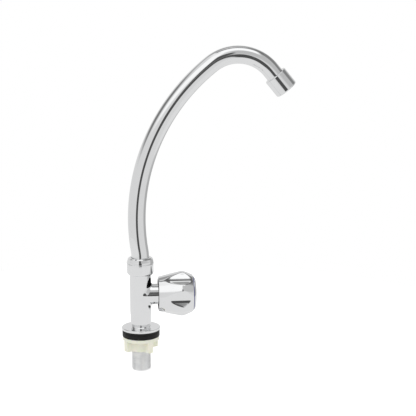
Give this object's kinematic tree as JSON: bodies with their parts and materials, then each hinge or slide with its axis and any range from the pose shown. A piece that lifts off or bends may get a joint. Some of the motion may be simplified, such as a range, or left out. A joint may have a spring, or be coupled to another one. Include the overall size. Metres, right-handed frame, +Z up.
{
  "type": "pillar tap",
  "caption": "Chrome pillar tap with a swan-neck swivel spout, a side knob with flutes, a threaded shank, a base flange and a plastic backnut.",
  "frame": {"origin": "on the shank's axis at deck level, the underside of the base seal", "axes": "+Z up along the shank and body, +X towards the knob and the spout's outlet, +Y to complete a right-handed frame"},
  "size_m": [0.1878, 0.047, 0.3509],
  "materials": {
    "chrome": "polished plating",
    "plated_thread": "dull plated thread",
    "cream_plastic": "moulded",
    "black_rubber": "moulded",
    "brass": "turned",
    "fibre": "pressed fibre",
    "steel": "satin",
    "white_plastic": "moulded",
    "blue_plastic": "gloss"
  },
  "bodies": {
    "tap": {"tap_body": "chrome", "shank": "plated_thread", "base_flange": "chrome", "base_seal": "black_rubber", "valve_seat": "brass", "bonnet": "brass", "bonnet_seal": "fibre", "spout_nut": "chrome", "slip_ring": "white_plastic"},
    "handle": {"spindle": "brass", "spindle_o_ring_inner": "black_rubber", "spindle_o_ring_outer": "black_rubber", "spindle_clip": "steel", "knob": "chrome", "knob_bush": "white_plastic", "knob_screw": "steel", "index_ring": "blue_plastic", "index_cap": "chrome"},
    "jumper": {"valve_carrier": "brass", "jumper_washer": "black_rubber", "jumper_screw": "steel"},
    "spout": {"spout_tail": "brass", "spout_o_ring_lower": "black_rubber", "spout_o_ring_upper": "black_rubber", "spout_tube": "chrome", "outlet_collar": "chrome", "aerator_washer": "black_rubber", "aerator_body": "plated_thread", "aerator_core": "white_plastic", "aerator_mesh": "steel"},
    "washer": {"clamp_washer": "black_rubber"},
    "nut": {"backnut": "cream_plastic"}
  },
  "joints": [
    {"name": "spout_swivel", "type": "hinge", "parent": "tap", "child": "spout", "pos_m": [0, 0, 0.07645], "axis": [0, 0, 1], "continuous": true},
    {"name": "handle_turn", "type": "hinge", "parent": "tap", "child": "handle", "pos_m": [0.04, 0, 0.041], "axis": [1, 0, 0], "range_deg": [0, 720]},
    {"name": "valve_lift", "type": "slide", "parent": "tap", "child": "jumper", "axis": [1, 0, 0], "range_m": [0, 0.004]},
    {"name": "washer_travel", "type": "slide", "parent": "tap", "child": "washer", "axis": [0, 0, -1], "range_m": [0, 0.02]},
    {"name": "backnut_spin", "type": "hinge", "parent": "washer", "child": "nut", "pos_m": [0, 0, -0.0127], "axis": [0, 0, -1], "range_deg": [0, 3960]}
  ],
  "couplings": [
    {"joint": "valve_lift", "follows": "handle_turn", "m_per_rad": 0.0003183},
    {"joint": "washer_travel", "follows": "backnut_spin", "m_per_rad": 0.0002887}
  ]
}
